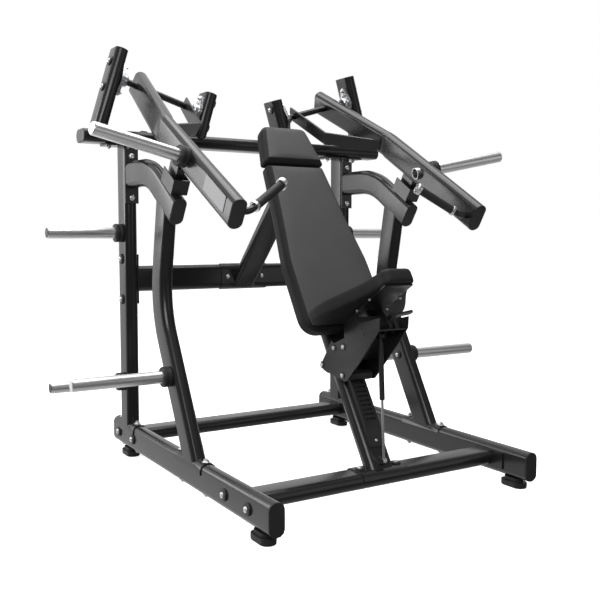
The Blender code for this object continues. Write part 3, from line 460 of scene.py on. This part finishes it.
def build_frame_hardware():
    face = RAIL_X + TUBE_THIN
    for tag, side, _ in SIDES:
        base = Hardware("base_" + tag, "frame")
        outward = X * side
        for y in (-0.596, -0.420, 0.486, 0.663):
            base.dome(Vector((side * face, y, RAIL_Z)), outward, 1.15)
        saddle_top = RAIL_Z + TUBE_WIDE + 0.0043
        for y in (-0.213, 0.006, 0.505, 0.683):
            base.nut(Vector((side * RAIL_X, y, saddle_top)), Z, 1.0)
            base.nut(Vector((side * RAIL_X, y, RAIL_Z - TUBE_WIDE)), -Z, 0.8)
        base.dome(Vector((side * (RAIL_X - TUBE_THIN), 0.060, 0.440)), -outward)
        base.finish()

        column = Hardware("column_" + tag, "frame")
        for z in (MIDDLE_BAR_Z - 0.090, MIDDLE_BAR_Z + 0.090):
            column.dome(Vector((side * face, COLUMN_Y, z)), outward, 1.15)
        for z in (1.005, 0.338):
            column.dome(Vector((side * (RAIL_X - TUBE_THIN), COLUMN_Y, z)), -outward)
        for z in (1.159, 1.338):
            column.dome(Vector((side * RAIL_X, 0.5297, z)), -Y, 1.35, washer=None)
            column.nut(Vector((side * RAIL_X, COLUMN_Y + TUBE_WIDE, z)), Y, 0.9)
        for x in (RAIL_X - 0.080, RAIL_X + 0.080):
            column.dome(Vector((side * x, COLUMN_Y, TOP_BAR_Z + TUBE_THIN)), Z)
            column.nut(Vector((side * x, COLUMN_Y, 1.3846)), -Z, 0.9)
        column.finish()

        hanger = Hardware("hanger_" + tag, "frame")
        for sign in (1.0, -1.0):
            for w in (-0.0585, 0.0585):
                hanger.dome(to_side(on_lever(sign * 0.255, w), side),
                            to_side(ALONG_AXLE * sign, side), 1.05)
                hanger.nut(to_side(on_lever(sign * 0.1837, w), side),
                           to_side(ALONG_AXLE * -sign, side), 0.85)
        hanger.finish()

    middle = Hardware("middle", "frame")
    for x in (-0.084, 0.084):
        middle.dome(Vector((x, -0.508, 0.1283)), Z)
        middle.nut(Vector((x, -0.508, RAIL_Z - TUBE_THIN)), -Z, 0.8)
    for x in (-0.092, 0.092):
        middle.dome(Vector((x, COLUMN_Y - TUBE_THIN - 0.0043, MIDDLE_BAR_Z)), -Y, 1.0, washer=None)
        middle.nut(Vector((x, COLUMN_Y + TUBE_THIN, MIDDLE_BAR_Z)), Y, 0.9)
    middle.dome(on_post(-0.103, 0.0413), OUT_POST - UP_POST * 0.32, 0.65, washer=None)
    middle.finish()

    bearing = bmesh.new()
    for _, side, _ in SIDES:
        for sign in (1.0, -1.0):
            base = to_side(on_lever(sign * 0.1787, 0.024), side)
            up = to_side(UP_HANGER, side)
            turned(bearing, base, up, [(0.0, 0.0034), (0.0100, 0.0034), (0.0104, 0.0022),
                                       (0.0130, 0.0022), (0.0136, 0.0028), (0.0152, 0.0024),
                                       (0.0158, 0.0010)], 16)
    piece("grease_nipples", bearing, STEEL, "frame")


def build_seat_hardware():
    seat = Hardware("seat", "seat")
    for side in (1.0, -1.0):
        for y, z in ((-0.309, 0.560), (-0.372, 0.571), (-0.369, 0.460), (-0.225, 0.482)):
            seat.dome(Vector((side * 0.067, y, z)), X * side, 0.9, washer=WASHER)
        under = SEAT_NOSE - SEAT_UP * (SEAT_THICK + 0.0063)
        for s in (0.125, 0.215):
            seat.nut(under + SEAT_ALONG * s + X * (side * 0.0712), -SEAT_UP, 0.6, washer=False)
    seat.finish()
    plugs = bmesh.new()
    for side in (1.0, -1.0):
        for y, z, size in ((-0.504, 0.634, 0.0052), (-0.492, 0.650, 0.0030)):
            turned(plugs, Vector((side * 0.0666, y, z)), X * side,
                   [(0.0, size), (0.0008, size), (0.0011, size * 0.8), (0.0007, size * 0.5)], 20)
    piece("carriage_hole_plugs", plugs, RUBBER, "seat")


# ---------------------------------------------------------------- plugs, collars, rings and plates
def arm_end_frames():
    """(centre, outward, wide, thin) of the rear and front ends of the left lever arm."""
    upper = -0.48 * UP_HANGER - 0.8773 * Y
    normal = 0.8773 * UP_HANGER - 0.48 * Y

    def along(t):
        return on_lever(0.085, 0.0) + t * upper - 0.0094 * normal

    corner = along(0.4575)
    lower = (ARM_FRONT - corner).normalized()
    thin = (X - lower * X.dot(lower)).normalized()
    wide = thin.cross(lower).normalized()
    if wide.z < 0:
        wide = -wide
    return (along(-0.0885), -upper.normalized(), normal, ALONG_AXLE), (ARM_FRONT, lower, wide, thin)


def build_plugs():
    rear, front = arm_end_frames()
    for tag, side, body in SIDES:
        ends = bmesh.new()
        tube_plug(ends, Vector((side * TOP_BAR_HALF, COLUMN_Y, TOP_BAR_Z)), X * side, Y, Z, 0.005)
        for s, top in ((0.226, 0.120), (-0.226, 0.094)):
            tube_plug(ends, to_side(on_lever(s, top, COLUMN_Y - PIVOT.y), side),
                      to_side(UP_HANGER, side), Y, to_side(ALONG_AXLE, side), 0.003)
        slope = Vector((0.0, -math.cos(BRACKET_TILT), -math.sin(BRACKET_TILT)))
        rise = Vector((0.0, -math.sin(BRACKET_TILT), math.cos(BRACKET_TILT)))
        tube_plug(ends, to_side(BRACKET_END, side), slope, rise, X, 0.005)
        piece("tube_plugs_" + tag, ends, PLASTIC, "frame")
        arm = bmesh.new()
        for centre, outward, wide, thin in (rear, front):
            tube_plug(arm, to_side(centre, side), to_side(outward, side), to_side(wide, side),
                      to_side(thin, side), 0.005)
        piece("lever_plugs_" + tag, arm, PLASTIC, body)
    top = bmesh.new()
    tube_plug(top, on_post(POST_END, 0.0), UP_POST, X, OUT_POST, 0.004)
    piece("post_plug", top, PLASTIC, "frame")


def collar_section(start, length):
    """Cross-section of a rubber collar that caps the root ring of a plate horn."""
    end = start + length
    return [(start, COLLAR_R + 0.0003), (start, COLLAR_R + 0.0009), (start + 0.002, 0.0405),
            (start + length * 0.40, 0.0405), (start + length * 0.44, 0.0397),
            (start + length * 0.56, 0.0397), (start + length * 0.60, 0.0405), (end - 0.004, 0.0405),
            (end - 0.001, 0.0395), (end + 0.0015, 0.0365), (end + 0.0018, 0.0290),
            (end + 0.0012, HORN_R + 0.0003), (end + 0.0003, HORN_R + 0.0003),
            (end + 0.0003, COLLAR_R + 0.0003)]


def build_horn_details():
    face = RAIL_X + TUBE_THIN + 0.0003
    horns = (("upper", COLUMN_Y, 1.005, 0.930), ("lower", COLUMN_Y, 0.338, 0.930),
             ("front", 0.060, 0.440, 0.992))
    axis = HORN_TIP - HORN_START
    for tag, side, body in SIDES:
        collars, caps = bmesh.new(), bmesh.new()
        for label, y, z, reach in horns:
            turned(collars, Vector((side * face, y, z)), X * side, collar_section(0.0, 0.030), 48, True)
            if label != "front":
                turned(caps, Vector((side * reach, y, z)), X * side,
                       [(-0.0020, 0.0205), (0.0002, 0.0212), (0.0012, 0.0208), (0.0018, 0.0190),
                        (0.0014, 0.0150), (0.0016, 0.0060)], 40)
        piece("horn_collars_" + tag, collars, RUBBER, "frame")
        piece("horn_caps_" + tag, caps, PLASTIC, "frame")
        collar = bmesh.new()
        turned(collar, to_side(HORN_START, side), to_side(axis, side), collar_section(0.078, 0.034),
               48, True)
        piece("lever_collar_" + tag, collar, RUBBER, body)


def build_grip_rings():
    direction = (GRIP_OUT - GRIP_IN).normalized()
    length = (GRIP_OUT - GRIP_IN).length
    inner = [(-0.0066, 0.0134), (-0.0066, 0.0196), (-0.0056, 0.0206), (0.0042, 0.0206),
             (0.0052, 0.0198), (0.0052, 0.0168), (0.0050, 0.0201), (-0.0058, 0.0201),
             (-0.0062, 0.0134)]
    outer = [(length - 0.0104, 0.0172), (length - 0.0106, 0.0222), (length - 0.0096, 0.0227),
             (length + 0.0058, 0.0227), (length + 0.0096, 0.0198), (length + 0.0098, 0.0170),
             (length + 0.0086, 0.0150), (length + 0.0092, 0.0060)]
    for tag, side, body in SIDES:
        data = bmesh.new()
        start = to_side(GRIP_IN, side)
        along = to_side(direction, side)
        turned(data, start, along, inner, 40, True)
        turned(data, start, along, outer, 40)
        piece("grip_rings_" + tag, data, CHROME, body)


def build_label_plates():
    """Blank rectangular name plates on the outer faces of the press levers."""
    _, (end, lower, wide, thin) = arm_end_frames()
    face = end + thin * (TUBE_THIN + 0.0002)
    offset = Vector((0.0, -0.323, 1.1435)) - Vector((0.0, face.y, face.z))
    centre = face + lower * offset.dot(lower) + wide * offset.dot(wide)
    for tag, side, body in SIDES:
        plate, rim = bmesh.new(), bmesh.new()
        axes = [to_side(v, side) for v in (lower, wide, thin)]
        slab(rim, to_side(centre, side), axes, (0.0890, 0.0325), 0.0010, 0.0004)
        piece("label_backing_" + tag, rim, PLASTIC, body)
        slab(plate, to_side(centre + thin * 0.0008, side), axes, (0.0872, 0.0307), 0.0010, 0.0004)
        piece("label_plate_" + tag, plate, LABEL, body)


# ---------------------------------------------------------------- cushions
def half_width(rows, v):
    for (v0, w0), (v1, w1) in zip(rows, rows[1:]):
        if v <= v1:
            return w0 + (w1 - w0) * (v - v0) / (v1 - v0)
    return rows[-1][1]


def grid_rows(rows, corners, inset, straight):
    """(v, half width) of grid rows over a rounded outline that is shrunk by the inset."""
    low, high = rows[0][0] + inset, rows[-1][0] - inset
    first, last = (max(0.003, c - inset) for c in corners)
    steps = 7
    result = []
    for i in range(steps):
        turn = math.pi / 2 * i / steps
        v = low + first * (1 - math.cos(turn))
        result.append((v, half_width(rows, v) - inset - first * (1 - math.sin(turn))))
    for i in range(straight + 1):
        v = low + first + (high - last - low - first) * i / straight
        result.append((v, half_width(rows, v) - inset))
    for i in range(steps - 1, -1, -1):
        turn = math.pi / 2 * i / steps
        v = high - last * (1 - math.cos(turn))
        result.append((v, half_width(rows, v) - inset - last * (1 - math.sin(turn))))
    return result


def boundary(rows, columns):
    spread = [2 * i / columns - 1 for i in range(columns + 1)]
    loop = [(rows[0][1] * u, rows[0][0]) for u in spread]
    loop += [(w, v) for v, w in rows[1:-1]]
    loop += [(rows[-1][1] * u, rows[-1][0]) for u in reversed(spread)]
    loop += [(-w, v) for v, w in reversed(rows[1:-1])]
    return loop


def cushion_mesh(name, rows, corners, place, levels, crown, columns, straight):
    """Closed cushion: a grid front panel, side panels between seams, and a flat back.

    Levels are (height, inset, seam) from the front panel's seam to the back edge. The front
    panel takes the first leather, everything else the second one, darker as painted shade.
    """
    data = bmesh.new()
    seams = []

    def panel(level, front):
        height, inset, _ = level
        lines = grid_rows(rows, corners, inset, straight)
        verts = []
        for k, (v, w) in enumerate(lines):
            line = []
            for i in range(columns + 1):
                u = 2 * i / columns - 1
                rise = 0.0
                if front:
                    t = k / (len(lines) - 1)
                    rise = crown * (1 - u ** 4) * (1 - (2 * t - 1) ** 6)
                line.append(data.verts.new(place(w * u, v, height + rise)))
            verts.append(line)
        for k in range(len(verts) - 1):
            for i in range(columns):
                face = data.faces.new((verts[k][i], verts[k][i + 1],
                                       verts[k + 1][i + 1], verts[k + 1][i]))
                face.material_index = 0 if front else 1
        edge = list(verts[0]) + [line[-1] for line in verts[1:-1]]
        edge += list(reversed(verts[-1])) + [line[0] for line in reversed(verts[1:-1])]
        return verts, edge

    _, edge = panel(levels[0], True)
    seams += edge
    for height, inset, seam in levels[1:-1]:
        outline = boundary(grid_rows(rows, corners, inset, straight), columns)
        ring = [data.verts.new(place(x, v, height)) for x, v in outline]
        for i in range(len(ring)):
            j = (i + 1) % len(ring)
            data.faces.new((edge[i], edge[j], ring[j], ring[i])).material_index = 1
        edge = ring
        if seam:
            seams += ring
    back, ring = panel(levels[-1], False)
    for i in range(len(ring)):
        j = (i + 1) % len(ring)
        data.faces.new((edge[i], edge[j], ring[j], ring[i])).material_index = 1
    held = set(seams) | {v for line in back for v in line}
    data.verts.index_update()
    pinned = [v.index for v in held]
    seam_points = [v.index for v in seams]
    bmesh.ops.recalc_face_normals(data, faces=data.faces)
    mesh = bpy.data.meshes.new(name)
    data.to_mesh(mesh)
    data.free()
    # Slot 1 is the darker side leather, painted shade on the sides and back.
    for mat in (LEATHER, SIDE_LEATHER_PAINTED_SHADE):
        mesh.materials.append(mat)
    obj = bpy.data.objects.new(name, mesh)
    bpy.context.scene.collection.objects.link(obj)
    return obj, pinned, seam_points


def inflate(obj, pinned, cap, pressure):
    """Cloth simulation under inner pressure with the seams held, capped and applied."""
    start = [v.co.copy() for v in obj.data.vertices]
    group = obj.vertex_groups.new(name="held")
    group.add(pinned, 1.0, "REPLACE")
    cloth = obj.modifiers.new("cloth", "CLOTH")
    settings = cloth.settings
    settings.quality = 6
    settings.mass = 0.25
    settings.tension_stiffness = 12.0
    settings.compression_stiffness = 12.0
    settings.shear_stiffness = 6.0
    settings.bending_stiffness = 0.6
    settings.use_pressure = True
    settings.uniform_pressure_force = pressure
    settings.effector_weights.gravity = 0.0
    settings.vertex_group_mass = "held"
    scene = bpy.context.scene
    for number in range(1, CLOTH_FRAMES + 1):
        scene.frame_set(number)
    shape = obj.evaluated_get(bpy.context.evaluated_depsgraph_get())
    moved = [v.co.copy() for v in shape.data.vertices]
    obj.modifiers.clear()
    obj.vertex_groups.clear()
    scene.frame_set(1)
    for vertex, before, after in zip(obj.data.vertices, start, moved):
        shift = after - before
        if shift.length > 1e-9:
            shift = shift.normalized() * cap * math.tanh(shift.length / cap)
        vertex.co = before + shift


def cushion(name, node, body, rows, corners, place, levels, crown, columns, straight, cap):
    obj, pinned, seams = cushion_mesh(name, rows, corners, place, levels, crown, columns, straight)
    inflate(obj, pinned, cap, CLOTH_PRESSURE)
    normals = {i: obj.data.vertices[i].normal.copy() for i in seams}
    for i in seams:
        obj.data.vertices[i].co -= normals[i] * SEAM_SINK
    smooth = obj.modifiers.new("smooth", "SUBSURF")
    smooth.levels = smooth.render_levels = 1
    smooth.boundary_smooth = "ALL"
    shape = obj.evaluated_get(bpy.context.evaluated_depsgraph_get())
    mesh = bpy.data.meshes.new_from_object(shape)
    obj.modifiers.clear()
    obj.data = mesh
    mesh.name = name
    mesh.shade_smooth()
    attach(obj, body)
    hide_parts(node)
    return obj


def build_cushions():
    inset = 0.018
    levels = [(0.0610, inset, True), (0.0598, 0.0164, False), (0.0525, 0.0100, False),
              (0.0440, 0.0022, False), (0.0424, 0.0006, True), (0.0408, 0.0004, False),
              (0.0310, 0.0004, False), (0.0200, 0.0004, False), (0.0090, 0.0004, False),
              (0.0042, 0.0006, True), (0.0020, 0.0020, True), (0.0005, 0.0050, True)]
    back_rows = [(0.331, 0.200), (0.430, 0.201), (0.637, 0.199), (0.751, 0.183), (0.868, 0.168),
                 (0.985, 0.155), (1.118, 0.141)]
    cushion("back_cushion", "back_pad", "frame", back_rows, (0.062, 0.014),
            lambda x, v, h: on_post(v, PAD_BACK + h, x), levels, 0.0015, 26, 56, 0.0035)
    head_rows = [(1.1235, 0.149), (1.200, 0.134), (1.320, 0.110)]
    cushion("head_cushion", "head_pad", "frame", head_rows, (0.014, 0.034),
            lambda x, v, h: on_post(v, HEAD_BACK + h, x), levels, 0.0015, 24, 16, 0.0035)

    def seat_width(s):
        u = min(1.0, max(0.0, (s - 0.02) / 0.30))
        return 0.068 + 0.137 * u * u * (3 - 2 * u)

    seat_rows = [(s, seat_width(s)) for s in (0.0, 0.05, 0.09, 0.13, 0.17, 0.21, 0.25, 0.29, 0.3565)]
    seat_levels = [(0.0560, 0.0140, True), (0.0548, 0.0110, False), (0.0520, 0.0062, False),
                   (0.0480, 0.0020, False), (0.0430, 0.0006, True), (0.0410, 0.0004, False),
                   (0.0320, 0.0004, False), (0.0220, 0.0004, False), (0.0120, 0.0004, False),
                   (0.0055, 0.0006, True), (0.0030, 0.0022, True), (0.0005, 0.0060, True)]
    cushion("seat_cushion", "seat_pad", "seat", seat_rows, (0.032, 0.035),
            lambda x, v, h: SEAT_NOSE + x * X + v * SEAT_ALONG + (h - SEAT_THICK) * SEAT_UP,
            seat_levels, 0.0020, 24, 30, 0.0040)


# ---------------------------------------------------------------- stage, lights and camera
def flat_material(name, colour, glow):
    mat = bpy.data.materials.new(name)
    mat.use_nodes = True
    shader = mat.node_tree.nodes["Principled BSDF"]
    shader.inputs["Base Color"].default_value = (*colour, 1.0)
    shader.inputs["Roughness"].default_value = 0.9
    shader.inputs["Specular IOR Level"].default_value = 0.0
    shader.inputs["Emission Color"].default_value = (1.0, 1.0, 1.0, 1.0)
    shader.inputs["Emission Strength"].default_value = glow
    return mat


def build_stage():
    disc = bmesh.new()
    bmesh.ops.create_circle(disc, cap_ends=True, segments=96, radius=STAGE_RADIUS)
    mesh = bpy.data.meshes.new("floor")
    disc.to_mesh(mesh)
    disc.free()
    mesh.materials.append(flat_material("floor_white", (0.90, 0.90, 0.90), 0.80))
    floor = bpy.data.objects.new("floor", mesh)
    floor.location.z = -0.0006
    bpy.context.scene.collection.objects.link(floor)
    ball = bmesh.new()
    bmesh.ops.create_uvsphere(ball, u_segments=64, v_segments=32, radius=STAGE_RADIUS)
    bmesh.ops.reverse_faces(ball, faces=ball.faces)
    mesh = bpy.data.meshes.new("backdrop")
    ball.to_mesh(mesh)
    ball.free()
    mesh.materials.append(flat_material("backdrop_white", (0.0, 0.0, 0.0), 1.0))
    dome = bpy.data.objects.new("backdrop", mesh)
    bpy.context.scene.collection.objects.link(dome)
    for flag in ("visible_diffuse", "visible_glossy", "visible_transmission", "visible_shadow"):
        setattr(dome, flag, False)
    floor.visible_diffuse = floor.visible_glossy = False


def area_light(name, place, aim, size, power):
    data = bpy.data.lights.new(name, "AREA")
    data.shape = "RECTANGLE"
    data.size, data.size_y = size
    data.energy = power
    light = bpy.data.objects.new(name, data)
    light.location = place
    light.rotation_mode = "QUATERNION"
    light.rotation_quaternion = (Vector(aim) - Vector(place)).to_track_quat("-Z", "Y")
    light.visible_camera = False
    bpy.context.scene.collection.objects.link(light)


def build_world():
    """Soft studio surround: bright behind and below the machine, dim in front of it."""
    world = bpy.data.worlds.new("studio")
    world.use_nodes = True
    tree = world.node_tree
    background = tree.nodes["Background"]
    background.inputs["Color"].default_value = (1.0, 1.0, 1.0, 1.0)
    place = tree.nodes.new("ShaderNodeTexCoord").outputs["Generated"]
    levels = []
    for direction, start, end, low, high in (((-0.10, 0.97, 0.20), -0.20, 0.95, 0.05, 0.95),
                                             ((0.0, 0.0, -1.0), 0.20, 0.90, 0.0, 0.40),
                                             ((0.0, 0.0, 1.0), 0.30, 0.95, 0.0, 0.25)):
        dot = tree.nodes.new("ShaderNodeVectorMath")
        dot.operation = "DOT_PRODUCT"
        dot.inputs[1].default_value = direction
        tree.links.new(place, dot.inputs[0])
        level = tree.nodes.new("ShaderNodeMapRange")
        level.interpolation_type = "SMOOTHSTEP"
        for key, value in (("From Min", start), ("From Max", end), ("To Min", low), ("To Max", high)):
            level.inputs[key].default_value = value
        tree.links.new(dot.outputs["Value"], level.inputs["Value"])
        levels.append(level.outputs["Result"])
    total = levels[0]
    for other in levels[1:]:
        add = tree.nodes.new("ShaderNodeMath")
        tree.links.new(total, add.inputs[0])
        tree.links.new(other, add.inputs[1])
        total = add.outputs[0]
    tree.links.new(total, background.inputs["Strength"])
    bpy.context.scene.world = world


def build_lights():
    bpy.context.scene.view_settings.view_transform = "Standard"
    area_light("key", (-3.0, -3.8, 2.9), (0.0, 0.0, 0.9), (2.4, 2.4), 95.0)
    area_light("rim_left", (-3.9, 4.2, 2.2), (0.0, 0.2, 1.0), (2.6, 2.8), 82.0)
    area_light("fill_right", (2.7, -4.3, 1.3), (0.0, 0.0, 0.9), (3.4, 3.0), 17.0)
    area_light("top", (0.1, 0.2, 4.3), (0.0, 0.0, 0.0), (3.2, 3.2), 110.0)


def build_camera():
    yaw, pitch, roll = (math.radians(a) for a in (31.62, 4.593, 0.095))
    forward = Vector((math.sin(yaw) * math.cos(pitch), math.cos(yaw) * math.cos(pitch),
                      -math.sin(pitch)))
    data = bpy.data.cameras.new("camera")
    data.lens = 48.97
    data.sensor_width = 36.0
    camera = bpy.data.objects.new("camera", data)
    camera.location = (-1.835, -2.926, 1.000)
    camera.rotation_mode = "QUATERNION"
    camera.rotation_quaternion = forward.to_track_quat("-Z", "Y") @ Quaternion((0, 0, 1), roll)
    bpy.context.scene.collection.objects.link(camera)
    bpy.context.scene.camera = camera


build_camera()
finish_cad_nodes()
build_frame_hardware()
build_seat_hardware()
build_plugs()
build_horn_details()
build_grip_rings()
build_label_plates()
build_cushions()
build_stage()
build_world()
build_lights()
